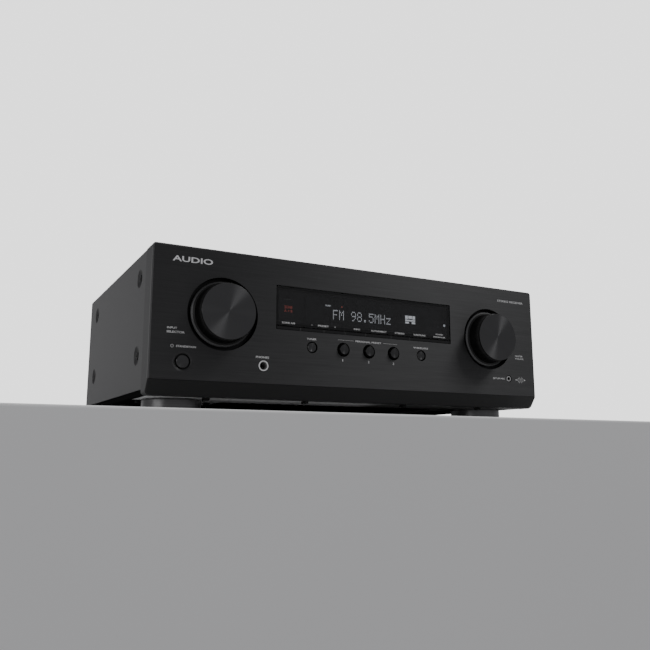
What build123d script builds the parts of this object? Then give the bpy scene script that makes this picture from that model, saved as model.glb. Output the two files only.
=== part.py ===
from build123d import *

import os

# Audio receiver: folded steel case, moulded front, two turning knobs and fourteen sprung buttons.
#
# Millimetres. X runs to the right as the user faces the front, Y from the front to the back and Z up.
# The origin is on the surface that the feet stand on, at the middle of the whole width and depth.

os.makedirs("parts", exist_ok=True)

# ---------------------------------------------------------------- driving dimensions
WIDTH = 435.0
HEIGHT = 149.0  # from the feet's soles to the top of the front panel
DEPTH = 320.7  # from the knobs' faces to the ends of the speaker posts
KNOB_PROUD = 15.4
POST_PROUD = 17.0
FRONT_Y = -DEPTH / 2 + KNOB_PROUD  # face of the front panel
REAR_Y = DEPTH / 2 - POST_PROUD  # outside of the rear panel

PANEL_BOTTOM = 17.2
BAND_TOP = 29.9  # the sloping band lies between PANEL_BOTTOM and this height
BAND_SETBACK = 8.5
FRAME_DEPTH = 22.0
FASCIA_T = 3.0
WEB_T = 2.5
WEB_BACK = FASCIA_T + WEB_T
FRAME_WALL = 2.5
TOP_CORNER_R = 3.0
BOTTOM_CORNER_R = 3.5
EDGE_CHAMFER = 1.1
SEAM = 0.3

KNOB_X = 152.2
KNOB_Z = 90.7
KNOB_FACE_R = 25.4
KNOB_BASE_R = 26.8
KNOB_SKIRT_R = 29.7
KNOB_CAP_T = 1.2
WELL_R = 33.1
WELL_WALL = 2.5
WELL_FLOOR = 8.0  # depth of the well's floor behind the front face
WELL_FLOOR_T = 2.0
BUSH_R = 3.5
SHAFT_R = 3.0
RUNNING_GAP = 0.05
ENCODER_BODY = (12.5, 13.5)
HUB_R = 6.0
HUB_BACK = 2.6  # depth at which the knob's hub and the shaft's flat end
SHAFT_FLAT = 1.5

WINDOW_X = 100.5
WINDOW_BOTTOM = 81.3
WINDOW_TOP = 123.1
WINDOW_CORNER_R = 0.8
DISPLAY_Z = 104.5
DISPLAY_OPENING = (195.0, 32.0)
DISPLAY_HOLDER = (190.0, 34.0)
DISPLAY_GLASS = (135.0, 26.0)
HOLDER_FRONT = 8.5  # depth of the holder's front, and then of the glass's
GLASS_FRONT = 6.2
KEY_BAR_TOP = 84.7
KEY_HEIGHT = 3.1
KEY_TRAVEL = 0.6
KEY_EDGES = (-100.3, -75.6, -50.7, -27.4, -4.0, 25.9, 48.3, 74.6, 100.3)
KEY_NAMES = (
    "zone_key",
    "preset_down_key",
    "preset_up_key",
    "info_key",
    "direct_key",
    "stereo_key",
    "surround_key",
    "sound_key",
)
KEY_STEM = (5.0, 2.2)
KEY_BACK = 2.2
KEY_T = 1.8

BUTTON_TRAVEL = 0.7
BUTTON_ROW_Z = 66.7
BUTTON_ROW_X = -0.4
PRESET_PITCH = 28.9
SIDE_BUTTON_X = 62.8
# name: x, z, radius of the hole in the fascia, radius of the button, height proud of the fascia
BUTTONS = {
    "standby_button": (-187.8, 46.1, 7.0, 5.6, 0.0),
    "tuner_button": (BUTTON_ROW_X - SIDE_BUTTON_X, BUTTON_ROW_Z, 5.6, 4.5, 0.0),
    "preset_button_1": (BUTTON_ROW_X - PRESET_PITCH, BUTTON_ROW_Z, 6.6, 5.7, 2.2),
    "preset_button_2": (BUTTON_ROW_X, BUTTON_ROW_Z, 6.6, 5.7, 2.2),
    "preset_button_3": (BUTTON_ROW_X + PRESET_PITCH, BUTTON_ROW_Z, 6.6, 5.7, 2.2),
    "wireless_button": (BUTTON_ROW_X + SIDE_BUTTON_X, BUTTON_ROW_Z, 5.6, 4.5, 0.0),
}
GUIDE_GAP = 0.3  # round a button, in its hole in the frame
STEM_GAP = 0.4  # left between a stem and its switch when the button is pushed home
FLANGE_FRONT = 5.9
FLANGE_T = 1.2
FLANGE_PROUD = 1.5
DISH_WIDTH = 2.5
DISH_DEPTH = 0.9

PHONES_X, PHONES_Z = -112.8, 46.4
PHONES_RING_R = 4.8
PHONES_RING_PROUD = 0.5
PHONES_MOUTH_R = 3.8
PHONES_NOSE_R = 4.0
PHONES_BORE_R = 3.25
PHONES_BORE_DEPTH = 31.0
PHONES_BODY = (12.0, 13.0, 28.0)
MIC_X, MIC_Z = 179.2, 48.5
MIC_HOLE_R = 3.8
MIC_NOSE_R = 2.9
MIC_BORE_R = 1.8
MIC_BORE_DEPTH = 16.0
MIC_BODY = (9.0, 10.0, 14.0)

BOARD_T = 1.6
FRONT_BOARD = 17.0  # depth of the front board's face, behind the front face
SWITCH_FACE = 13.5
SWITCH_STEM = 12.6
SWITCH_SIZE = 6.0

SHEET = 1.0
COVER_X = 217.1
COVER_TOP = 148.2
COVER_BOTTOM = 22.5
COVER_FRONT = FRONT_Y + FRAME_DEPTH + SEAM
COVER_BEND_R = 2.0
CHASSIS_X = COVER_X - SHEET - SEAM
FLOOR_BOTTOM = 17.5
FLOOR_TOP = FLOOR_BOTTOM + SHEET
CHASSIS_FRONT = FRONT_Y + FRAME_DEPTH + SEAM
CHASSIS_BACK = REAR_Y - SHEET
FLANGE_TOP = 44.0
PAN_X = 125.0
PAN_FRONT = FRONT_Y + 76.0
PAN_BACK = REAR_Y - 60.0
PAN_RISE = 2.0
PANEL_X = CHASSIS_X

DIMPLE_R = 9.0
DIMPLE_DEPTH = 2.6
DIMPLE_Y = (FRONT_Y + 45.3, REAR_Y - 40.0)
DIMPLE_Z = (54.2, 125.3)
LIP_DROP = 10.0
LIP_SCREWS_X = (-170.0, -85.0, 0.0, 85.0, 170.0)

SCREW_HEAD_R = 3.6
SCREW_HEAD_T = 2.2
SCREW_SHANK_R = 1.9
SCREW_LENGTH = 8.0
SCREW_HOLE_R = 2.1
CROSS_RECESS = (3.6, 0.8, 1.2)

FOOT_X = 179.5
FOOT_R = 27.4
FOOT_FRONT_Y = FRONT_Y + 59.7
FOOT_BACK_Y = REAR_Y - 50.0
FOOT_SPOTS = [(x, y, 0.0) for x in (-FOOT_X, FOOT_X) for y in (FOOT_FRONT_Y, FOOT_BACK_Y)]
FOOT_NECK_R = 24.0
FOOT_TOP = 16.4
FOOT_RECESS_R = 6.0
FOOT_RECESS_TOP = 14.0
SOLE = 1.2
PAD_R = (14.0, 24.0)
PAD_T = 2.2

LUG_X = (-157.0, -57.0, 57.0, 157.0)
LUG_BACK = FRONT_Y + 38.0
LUG_SCREW_Y = FRONT_Y + 28.0
LUG_WIDTH = 16.0
LUG_HEIGHT = 7.0
LUG_ROOT = 4.0  # reach of a lug into the frame

TRAFO = (-169.0, -24.0)
TRAFO_SIZE = (82.0, 76.0, 42.0)
TRAFO_FEET = (33.5, 31.0)
TRAFO_BOSS = 6.0
COIL_WIDTH = 50.0
LIMB = 22.0

MAIN_BOARD = (75.0, 22.0, 270.0, 190.0)  # centre x, centre y, width, depth
MAIN_BOARD_Z = 30.0
HEATSINK = (85.0, -18.0, 240.0, 28.0, 96.0)  # centre x, centre y, length, depth, height
FIN_PITCH = 8.0
CAPACITOR_R = 17.5
CAPACITOR_H = 46.0
CAPACITOR_X = (-40.0, 0.0)
CAPACITOR_Y = 82.0
DIGITAL_BOARD = (30.0, 104.0, 210.0, 70.0)
DIGITAL_BOARD_Z = 112.0

JACK_X = (66.0, 84.0, 102.0, 120.0)
JACK_Z = (50.0, 72.0)
JACK_R = 4.15
JACK_BORE_R = 1.65
JACK_LENGTH = 9.0
JACK_BLOCK = 13.0
VIDEO_X = (-60.0, -32.0, -4.0, 24.0, 52.0)
VIDEO_Z = DIGITAL_BOARD_Z + BOARD_T + 3.6
VIDEO_SIZE = (15.4, 6.0)
VIDEO_DEPTH = 12.0
TUNER_X, TUNER_Z = 165.0, 112.0
AERIAL_R = 4.76
INLET_X, INLET_Z = -186.0, 50.0
INLET_SLOT = (17.4, 9.2)
INLET_PIN_X = 4.3

TERMINAL_X = -62.0
TERMINAL_Z = 57.0
TERMINAL_PITCH = 21.0
TERMINAL_ROWS = 24.0
CHANNELS = ("surround_right", "surround_left", "centre", "front_right", "front_left")
CAP_R = 8.0
CAP_LENGTH = 13.6
CAP_FLUTES = 18
STUD_R = 2.4


# ---------------------------------------------------------------- helpers
def wall(y):
    """Upright plane across the object at y, drawn as seen from the front."""
    return Plane.XZ.offset(-y)


def behind(depth):
    """The same plane, given by its depth behind the front face."""
    return wall(FRONT_Y + depth)


def lathe(x, z):
    """Plane for turned pieces on a line along Y: radius to the right, depth behind the front up."""
    return Plane(origin=(x, FRONT_Y, z))


def lathe_axis(x, z):
    return Axis((x, FRONT_Y, z), (0, 1, 0))


def finish(piece, label):
    """Name a piece and write it out."""
    piece.part.label = label
    export_step(piece.part, f"parts/{label}.step")


# ---------------------------------------------------------------- front panel
PANEL_H = HEIGHT - PANEL_BOTTOM
PANEL_MID_Z = (HEIGHT + PANEL_BOTTOM) / 2

with BuildPart() as fascia_plate:
    with BuildSketch(behind(FASCIA_T)) as fascia_outline:
        with Locations((0, (HEIGHT + BAND_TOP + SEAM) / 2)):
            Rectangle(WIDTH, HEIGHT - BAND_TOP - SEAM)
        fillet(fascia_outline.vertices().group_by(Axis.Y)[-1], TOP_CORNER_R)
    extrude(amount=FASCIA_T)
    front_face = fascia_plate.faces().sort_by(Axis.Y)[0]
    rim = front_face.outer_wire().edges().sort_by(Axis.Z)[1:]
    chamfer(rim, EDGE_CHAMFER)
    with BuildSketch(behind(0)):
        with Locations((-KNOB_X, KNOB_Z), (KNOB_X, KNOB_Z)):
            Circle(WELL_R)
        with Locations((0, (WINDOW_TOP + WINDOW_BOTTOM) / 2)):
            RectangleRounded(2 * WINDOW_X + 0.4, WINDOW_TOP - WINDOW_BOTTOM, WINDOW_CORNER_R)
        for x, z, hole_r, button_r, proud in BUTTONS.values():
            with Locations((x, z)):
                Circle(hole_r)
        with Locations((PHONES_X, PHONES_Z)):
            Circle(PHONES_RING_R + 0.2)
        with Locations((MIC_X, MIC_Z)):
            Circle(MIC_HOLE_R)
    extrude(amount=-FASCIA_T, mode=Mode.SUBTRACT)
    # shallow dish round the standby button
    dish_x, dish_z, dish_hole_r = BUTTONS["standby_button"][:3]
    dish_r = dish_hole_r + DISH_WIDTH
    with BuildSketch(lathe(dish_x, dish_z)):
        with BuildLine():
            Polyline((0, DISH_DEPTH), (0, -0.5), (dish_r, -0.5), (dish_r, 0))
            ThreePointArc((dish_r, 0), (dish_hole_r + 1.0, DISH_DEPTH / 3), (dish_hole_r, DISH_DEPTH))
            Line((dish_hole_r, DISH_DEPTH), (0, DISH_DEPTH))
        make_face()
    revolve(axis=lathe_axis(dish_x, dish_z), mode=Mode.SUBTRACT)
    # eased mouths of the preset holes
    for number in (1, 2, 3):
        hole_x, hole_z, hole_r = BUTTONS[f"preset_button_{number}"][:3]
        with BuildSketch(lathe(hole_x, hole_z)):
            with BuildLine():
                Polyline((0, 0.6), (0, -0.1), (hole_r + 0.35, -0.1), (hole_r, 0.6), close=True)
            make_face()
        revolve(axis=lathe_axis(hole_x, hole_z), mode=Mode.SUBTRACT)
finish(fascia_plate, "fascia_plate")

with BuildPart() as front_frame:
    with BuildSketch(behind(FRAME_DEPTH)) as frame_outline:
        with Locations((0, PANEL_MID_Z)):
            Rectangle(WIDTH, PANEL_H)
        fillet(frame_outline.vertices().group_by(Axis.Y)[-1], TOP_CORNER_R)
        fillet(frame_outline.vertices().group_by(Axis.Y)[0], BOTTOM_CORNER_R)
    extrude(amount=FRAME_DEPTH)
    # seat for the fascia plate
    with BuildSketch(behind(0)):
        with Locations((0, BAND_TOP)):
            Rectangle(WIDTH + 2, HEIGHT, align=(Align.CENTER, Align.MIN))
    extrude(amount=-FASCIA_T, mode=Mode.SUBTRACT)
    # slope of the band
    with BuildSketch(Plane.YZ):
        with BuildLine():
            Polyline(
                (FRONT_Y, BAND_TOP),
                (FRONT_Y + BAND_SETBACK, PANEL_BOTTOM),
                (FRONT_Y + BAND_SETBACK, PANEL_BOTTOM - 1),
                (FRONT_Y - 1, PANEL_BOTTOM - 1),
                (FRONT_Y - 1, BAND_TOP),
                close=True,
            )
        make_face()
    extrude(amount=WIDTH / 2 + 1, both=True, mode=Mode.SUBTRACT)
    band = front_frame.faces().filter_by(lambda f: f.normal_at().Y < -0.5 and f.normal_at().Z < -0.2)
    band_edges = band.sort_by(Axis.Y)[0].edges().sort_by(Axis.Z)[:-1]
    chamfer(band_edges, 0.8)
    # hollow back, above and behind the band
    inner_w = WIDTH - 2 * FRAME_WALL
    pocket_bottom = BAND_TOP + FRAME_WALL
    with BuildSketch(behind(FRAME_DEPTH)):
        with Locations((0, pocket_bottom)):
            Rectangle(inner_w, HEIGHT - FRAME_WALL - pocket_bottom, align=(Align.CENTER, Align.MIN))
    extrude(amount=FRAME_DEPTH - WEB_BACK, mode=Mode.SUBTRACT)
    low_bottom = PANEL_BOTTOM + FRAME_WALL
    with BuildSketch(behind(FRAME_DEPTH)):
        with Locations((0, low_bottom)):
            Rectangle(inner_w - 6, pocket_bottom - low_bottom, align=(Align.CENTER, Align.MIN))
    extrude(amount=FRAME_DEPTH - BAND_SETBACK - FRAME_WALL, mode=Mode.SUBTRACT)
    # knob wells
    with BuildSketch(behind(WELL_FLOOR + WELL_FLOOR_T)):
        with Locations((-KNOB_X, KNOB_Z), (KNOB_X, KNOB_Z)):
            Circle(WELL_R + WELL_WALL)
    extrude(amount=WELL_FLOOR + WELL_FLOOR_T - FASCIA_T)
    with BuildSketch(behind(WELL_FLOOR)):
        with Locations((-KNOB_X, KNOB_Z), (KNOB_X, KNOB_Z)):
            Circle(WELL_R)
    extrude(amount=WELL_FLOOR, mode=Mode.SUBTRACT)
    # openings in the web behind the fascia
    with BuildSketch(behind(FASCIA_T)):
        with Locations((0, DISPLAY_Z)):
            Rectangle(*DISPLAY_OPENING)
        for left, right in zip(KEY_EDGES, KEY_EDGES[1:]):
            with Locations(((left + right) / 2, KEY_BAR_TOP - KEY_HEIGHT / 2)):
                Rectangle(KEY_STEM[0] + 0.6, KEY_STEM[1] + 0.6)
        for x, z, hole_r, button_r, proud in BUTTONS.values():
            with Locations((x, z)):
                Circle(button_r + GUIDE_GAP)
        with Locations((PHONES_X, PHONES_Z)):
            Circle(PHONES_NOSE_R + 0.2)
        with Locations((MIC_X, MIC_Z)):
            Circle(MIC_NOSE_R + 0.2)
    extrude(amount=-WEB_T, mode=Mode.SUBTRACT)
    with BuildSketch(behind(WELL_FLOOR)):
        with Locations((-KNOB_X, KNOB_Z), (KNOB_X, KNOB_Z)):
            Circle(BUSH_R + 0.1)
    extrude(amount=-WELL_FLOOR_T, mode=Mode.SUBTRACT)
    # lugs over the chassis floor, screwed from below
    with BuildSketch(Plane.XY.offset(FLOOR_TOP)):
        for x in LUG_X:
            with Locations((x, (FRONT_Y + FRAME_DEPTH - LUG_ROOT + LUG_BACK) / 2)):
                Rectangle(LUG_WIDTH, LUG_BACK - FRONT_Y - FRAME_DEPTH + LUG_ROOT)
    extrude(amount=LUG_HEIGHT)
    with BuildSketch(Plane.XY.offset(FLOOR_TOP)):
        with Locations(*[(x, LUG_SCREW_Y) for x in LUG_X]):
            Circle(SCREW_HOLE_R)
    extrude(amount=LUG_HEIGHT, mode=Mode.SUBTRACT)
finish(front_frame, "front_frame")

LENS_BOTTOM = KEY_BAR_TOP + SEAM
with BuildPart() as display_window:
    with BuildSketch(behind(FASCIA_T)) as lens_outline:
        with Locations((0, LENS_BOTTOM)):
            Rectangle(2 * WINDOW_X, WINDOW_TOP - 0.2 - LENS_BOTTOM, align=(Align.CENTER, Align.MIN))
        fillet(lens_outline.vertices().group_by(Axis.Y)[-1], WINDOW_CORNER_R)
    extrude(amount=FASCIA_T - 0.6)
    chamfer(display_window.faces().sort_by(Axis.Y)[0].edges(), 0.3)
finish(display_window, "display_window")

with BuildPart() as display_module:
    with BuildSketch(behind(FRONT_BOARD)):
        with Locations((0, DISPLAY_Z)):
            Rectangle(*DISPLAY_HOLDER)
    extrude(amount=FRONT_BOARD - HOLDER_FRONT)
    # display glass standing forward from its holder, with the sealed-off tip at one end
    with BuildSketch(behind(HOLDER_FRONT)):
        with Locations((0, DISPLAY_Z)):
            RectangleRounded(*DISPLAY_GLASS, 1.5)
    extrude(amount=HOLDER_FRONT - GLASS_FRONT)
    with BuildSketch(behind(HOLDER_FRONT)):
        with Locations((DISPLAY_GLASS[0] / 2 + 3.5, DISPLAY_Z)):
            RectangleRounded(8, 6, 1.5)
    extrude(amount=(HOLDER_FRONT - GLASS_FRONT) / 2)
finish(display_module, "display_module")

with BuildPart() as front_board:
    with BuildSketch(behind(FRONT_BOARD)):
        with Locations((0, 57)):
            Rectangle(412, 78, align=(Align.CENTER, Align.MIN))
        with Locations((-189, 38)):
            Rectangle(34, 20, align=(Align.CENTER, Align.MIN))
        with Locations((-206, 130), (206, 130), (-206, 57), (206, 57)):
            Circle(6, mode=Mode.SUBTRACT)
    extrude(amount=-BOARD_T)
finish(front_board, "front_board")

key_centres = [(a + b) / 2 for a, b in zip(KEY_EDGES, KEY_EDGES[1:])]
key_z = KEY_BAR_TOP - KEY_HEIGHT / 2
switch_spots = [(x, key_z) for x in key_centres]
switch_spots += [(spec[0], spec[1]) for spec in BUTTONS.values()]
with BuildPart() as tact_switches:
    with BuildSketch(behind(FRONT_BOARD)):
        with Locations(*switch_spots):
            RectangleRounded(SWITCH_SIZE, SWITCH_SIZE, 0.5)
    extrude(amount=FRONT_BOARD - SWITCH_FACE)
    with BuildSketch(behind(SWITCH_FACE)):
        with Locations(*switch_spots):
            Circle(1.6)
    extrude(amount=SWITCH_FACE - SWITCH_STEM)
finish(tact_switches, "tact_switches")


# ---------------------------------------------------------------- knobs and their encoders
def knob_set(name, x):
    """A hollow knob with a conical skirt, its thin spun cap, the shaft and the encoder."""
    cap_back = -KNOB_PROUD + KNOB_CAP_T
    bore_end = cap_back + 3.0
    with BuildPart() as knob:
        with BuildSketch(lathe(x, KNOB_Z)):
            with BuildLine():
                Polyline(
                    (0, cap_back),
                    (KNOB_FACE_R, cap_back),
                    (KNOB_BASE_R, -0.8),
                    (KNOB_SKIRT_R, 1.8),
                    (KNOB_SKIRT_R, 3.2),
                    (KNOB_SKIRT_R - 2.2, 3.2),
                    (KNOB_BASE_R - 2.4, -0.6),
                    (KNOB_FACE_R - 2.2, bore_end),
                    (0, bore_end),
                    close=True,
                )
            make_face()
        revolve(axis=lathe_axis(x, KNOB_Z))
        # hub round the shaft
        with BuildSketch(lathe(x, KNOB_Z)):
            with BuildLine():
                Polyline(
                    (0, bore_end - 0.5),
                    (HUB_R, bore_end - 0.5),
                    (HUB_R, HUB_BACK),
                    (0, HUB_BACK),
                    close=True,
                )
            make_face()
        revolve(axis=lathe_axis(x, KNOB_Z))
        # four webs between hub and wall
        with BuildSketch(behind(-2.0)):
            with Locations((x, KNOB_Z)):
                Rectangle(2 * KNOB_FACE_R - 4, 1.6)
                Rectangle(1.6, 2 * KNOB_FACE_R - 4)
        extrude(amount=-bore_end - 1.5)
        with BuildSketch(behind(HUB_BACK)):
            with Locations((x, KNOB_Z)):
                Circle(SHAFT_R)
                with Locations((0, SHAFT_R - SHAFT_FLAT)):
                    Rectangle(8, 3, align=(Align.CENTER, Align.MIN), mode=Mode.SUBTRACT)
        extrude(amount=HUB_BACK - bore_end, mode=Mode.SUBTRACT)
    finish(knob, f"{name}_knob")

    with BuildPart() as cap:
        with BuildSketch(lathe(x, KNOB_Z)):
            with BuildLine():
                Polyline((0, -KNOB_PROUD), (KNOB_FACE_R - 0.5, -KNOB_PROUD))
                Line((KNOB_FACE_R - 0.5, -KNOB_PROUD), (KNOB_FACE_R, -KNOB_PROUD + 0.4))
                Line((KNOB_FACE_R, -KNOB_PROUD + 0.4), (KNOB_FACE_R, cap_back))
                Polyline((KNOB_FACE_R, cap_back), (0, cap_back), (0, -KNOB_PROUD))
            make_face()
        revolve(axis=lathe_axis(x, KNOB_Z))
    finish(cap, f"{name}_knob_cap")

    with BuildPart() as shaft:
        with BuildSketch(behind(FRONT_BOARD - 2.0)):
            with Locations((x, KNOB_Z)):
                Circle(SHAFT_R)
        extrude(amount=FRONT_BOARD - 2.0 - HUB_BACK)
        with BuildSketch(behind(HUB_BACK)):
            with Locations((x, KNOB_Z)):
                Circle(SHAFT_R)
                with Locations((0, SHAFT_R - SHAFT_FLAT)):
                    Rectangle(8, 3, align=(Align.CENTER, Align.MIN), mode=Mode.SUBTRACT)
        extrude(amount=HUB_BACK - bore_end)
    finish(shaft, f"{name}_encoder_shaft")

    with BuildPart() as encoder:
        with BuildSketch(behind(FRONT_BOARD)):
            with Locations((x, KNOB_Z)):
                Rectangle(*ENCODER_BODY)
        extrude(amount=FRONT_BOARD - WELL_FLOOR - WELL_FLOOR_T)
        with BuildSketch(behind(WELL_FLOOR + WELL_FLOOR_T)):
            with Locations((x, KNOB_Z)):
                Circle(BUSH_R)
        extrude(amount=6.5)
        with BuildSketch(behind(3.5)):
            with Locations((x, KNOB_Z)):
                Circle(SHAFT_R + RUNNING_GAP)
        extrude(amount=-11.6, mode=Mode.SUBTRACT)
    finish(encoder, f"{name}_encoder")


knob_set("input", -KNOB_X)
knob_set("volume", KNOB_X)


# ---------------------------------------------------------------- buttons and keys
def round_button(name, x, z, radius, proud):
    """Turned cap with a dished face, a flange behind the web and a stem to its switch."""
    front = 0.1 - proud
    face_r = radius - 0.4 if proud == 0 else radius - 1.2
    shoulder = front + 0.4 if proud == 0 else front + 1.3
    stem_end = SWITCH_STEM - BUTTON_TRAVEL - STEM_GAP
    with BuildPart() as button:
        with BuildSketch(lathe(x, z)):
            with BuildLine():
                Line((0, stem_end), (0, front + 0.4))
                ThreePointArc((0, front + 0.4), (face_r / 2, front + 0.28), (face_r, front))
                Polyline(
                    (face_r, front),
                    (radius, shoulder),
                    (radius, FLANGE_FRONT),
                    (radius + FLANGE_PROUD, FLANGE_FRONT),
                    (radius + FLANGE_PROUD, FLANGE_FRONT + FLANGE_T),
                    (2.0, FLANGE_FRONT + FLANGE_T),
                    (2.0, stem_end),
                    (0, stem_end),
                )
            make_face()
        revolve(axis=lathe_axis(x, z))
    finish(button, name)


for name, (x, z, hole_r, radius, proud) in BUTTONS.items():
    round_button(name, x, z, radius, proud)

for name, left, right in zip(KEY_NAMES, KEY_EDGES, KEY_EDGES[1:]):
    middle = (left + right) / 2
    with BuildPart() as key:
        with BuildSketch(behind(KEY_BACK)):
            with Locations((middle, key_z)):
                Rectangle(right - left - SEAM, KEY_HEIGHT)
        extrude(amount=KEY_T)
        chamfer(key.faces().sort_by(Axis.Y)[0].edges(), 0.25)
        with BuildSketch(behind(KEY_BACK)):
            with Locations((middle, key_z)):
                Rectangle(*KEY_STEM)
        extrude(amount=-(SWITCH_STEM - KEY_TRAVEL - STEM_GAP - KEY_BACK))
        # catch behind the web
        with BuildSketch(behind(FLANGE_FRONT)):
            with Locations((middle, key_z)):
                Rectangle(KEY_STEM[0] + 3.0, KEY_STEM[1])
        extrude(amount=-FLANGE_T)
    finish(key, name)

# ---------------------------------------------------------------- front sockets
with BuildPart() as phones_jack:
    with BuildSketch(behind(WEB_BACK)):
        with Locations((PHONES_X, PHONES_Z)):
            Rectangle(PHONES_BODY[0], PHONES_BODY[1])
    extrude(amount=-PHONES_BODY[2])
    with BuildSketch(behind(WEB_BACK)):
        with Locations((PHONES_X, PHONES_Z)):
            Circle(PHONES_NOSE_R)
    extrude(amount=WEB_BACK - 0.4)
    with BuildSketch(behind(0.4)):
        with Locations((PHONES_X, PHONES_Z)):
            Circle(PHONES_BORE_R)
    extrude(amount=-PHONES_BORE_DEPTH, mode=Mode.SUBTRACT)
finish(phones_jack, "phones_jack")

with BuildPart() as phones_jack_ring:
    # flat rim in front of the jack's nose, and a sleeve round it
    with BuildSketch(lathe(PHONES_X, PHONES_Z)):
        with BuildLine():
            Polyline(
                (PHONES_NOSE_R, FASCIA_T),
                (PHONES_NOSE_R, 0.35),
                (PHONES_MOUTH_R, 0.35),
                (PHONES_MOUTH_R, 0.15 - PHONES_RING_PROUD),
                (PHONES_MOUTH_R + 0.15, -PHONES_RING_PROUD),
                (PHONES_RING_R - 0.2, -PHONES_RING_PROUD),
                (PHONES_RING_R, 0.2 - PHONES_RING_PROUD),
                (PHONES_RING_R, FASCIA_T),
                close=True,
            )
        make_face()
    revolve(axis=lathe_axis(PHONES_X, PHONES_Z))
finish(phones_jack_ring, "phones_jack_ring")

with BuildPart() as setup_mic_jack:
    with BuildSketch(behind(WEB_BACK)):
        with Locations((MIC_X, MIC_Z)):
            Rectangle(MIC_BODY[0], MIC_BODY[1])
    extrude(amount=-MIC_BODY[2])
    with BuildSketch(behind(WEB_BACK)):
        with Locations((MIC_X, MIC_Z)):
            Circle(MIC_NOSE_R)
    extrude(amount=WEB_BACK - 0.3)
    with BuildSketch(behind(0.3)):
        with Locations((MIC_X, MIC_Z)):
            Circle(MIC_BORE_R)
    extrude(amount=-MIC_BORE_DEPTH, mode=Mode.SUBTRACT)
finish(setup_mic_jack, "setup_mic_jack")

# ---------------------------------------------------------------- case
chassis_depth = CHASSIS_BACK - CHASSIS_FRONT
chassis_mid_y = (CHASSIS_BACK + CHASSIS_FRONT) / 2
pan_depth = PAN_BACK - PAN_FRONT
pan_mid_y = (PAN_BACK + PAN_FRONT) / 2
with BuildPart() as bottom_chassis:
    with BuildSketch(Plane.XY.offset(FLOOR_BOTTOM)):
        with Locations((0, chassis_mid_y)):
            Rectangle(2 * CHASSIS_X, chassis_depth)
    extrude(amount=FLANGE_TOP - FLOOR_BOTTOM)
    outer_bends = bottom_chassis.edges().filter_by(Axis.Y).group_by(Axis.Z)[0]
    fillet(outer_bends, 1.5)
    with BuildSketch(Plane.XY.offset(FLOOR_TOP)):
        with Locations((0, chassis_mid_y)):
            Rectangle(2 * (CHASSIS_X - SHEET), chassis_depth - 2 * SHEET)
    extrude(amount=FLANGE_TOP, mode=Mode.SUBTRACT)
    # the rear flange is low, and the front one is notched for the frame's lugs
    with BuildSketch(wall(CHASSIS_BACK)):
        with Locations((0, FLOOR_TOP + 10)):
            Rectangle(2 * (CHASSIS_X - SHEET), FLANGE_TOP, align=(Align.CENTER, Align.MIN))
    extrude(amount=SHEET, mode=Mode.SUBTRACT)
    with BuildSketch(wall(CHASSIS_FRONT)):
        for x in LUG_X:
            with Locations((x, FLOOR_TOP)):
                Rectangle(17.0, FLANGE_TOP, align=(Align.CENTER, Align.MIN))
        with Locations((PHONES_X, 38.0)):
            Rectangle(15.0, 20.0, align=(Align.CENTER, Align.MIN))
    extrude(amount=-SHEET, mode=Mode.SUBTRACT)
    # bosses under the transformer and the main board
    with BuildSketch(Plane.XY.offset(FLOOR_TOP)):
        for dx in (-TRAFO_FEET[0], TRAFO_FEET[0]):
            for dy in (-TRAFO_FEET[1], TRAFO_FEET[1]):
                with Locations((TRAFO[0] + dx, TRAFO[1] + dy)):
                    Circle(5.0)
    extrude(amount=TRAFO_BOSS)
    with BuildSketch(Plane.XY.offset(FLOOR_TOP)):
        for dx in (-MAIN_BOARD[2] / 2 + 8, MAIN_BOARD[2] / 2 - 8):
            for dy in (-MAIN_BOARD[3] / 2 + 8, MAIN_BOARD[3] / 2 - 8):
                with Locations((MAIN_BOARD[0] + dx, MAIN_BOARD[1] + dy)):
                    Circle(3.5)
    extrude(amount=MAIN_BOARD_Z - FLOOR_TOP)
    # pressed pan under the boards
    with BuildSketch(Plane.XY.offset(FLOOR_TOP)):
        with Locations((0, pan_mid_y)):
            Rectangle(2 * (PAN_X + SHEET), pan_depth + 2 * SHEET)
    extrude(amount=PAN_RISE)
    with BuildSketch(Plane.XY.offset(FLOOR_BOTTOM)):
        with Locations((0, pan_mid_y)):
            Rectangle(2 * PAN_X, pan_depth)
    extrude(amount=PAN_RISE, mode=Mode.SUBTRACT)
    # screw holes for feet, lugs and transformer
    floor_holes = [(x, y) for x, y, z in FOOT_SPOTS]
    floor_holes += [(x, LUG_SCREW_Y) for x in LUG_X]
    floor_holes += [
        (TRAFO[0] + dx, TRAFO[1] + dy)
        for dx in (-TRAFO_FEET[0], TRAFO_FEET[0])
        for dy in (-TRAFO_FEET[1], TRAFO_FEET[1])
    ]
    with BuildSketch(Plane.XY.offset(FLOOR_BOTTOM)):
        with Locations(*floor_holes):
            Circle(SCREW_HOLE_R)
    extrude(amount=SHEET + TRAFO_BOSS, mode=Mode.SUBTRACT)
    # cooling slots in the pan
    with BuildSketch(Plane.XY.offset(FLOOR_BOTTOM)):
        with Locations((30, pan_mid_y)):
            with GridLocations(44.0, 10.0, 4, 8):
                SlotOverall(36.0, 4.0)
    extrude(amount=10.0, mode=Mode.SUBTRACT)
finish(bottom_chassis, "bottom_chassis")

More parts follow.
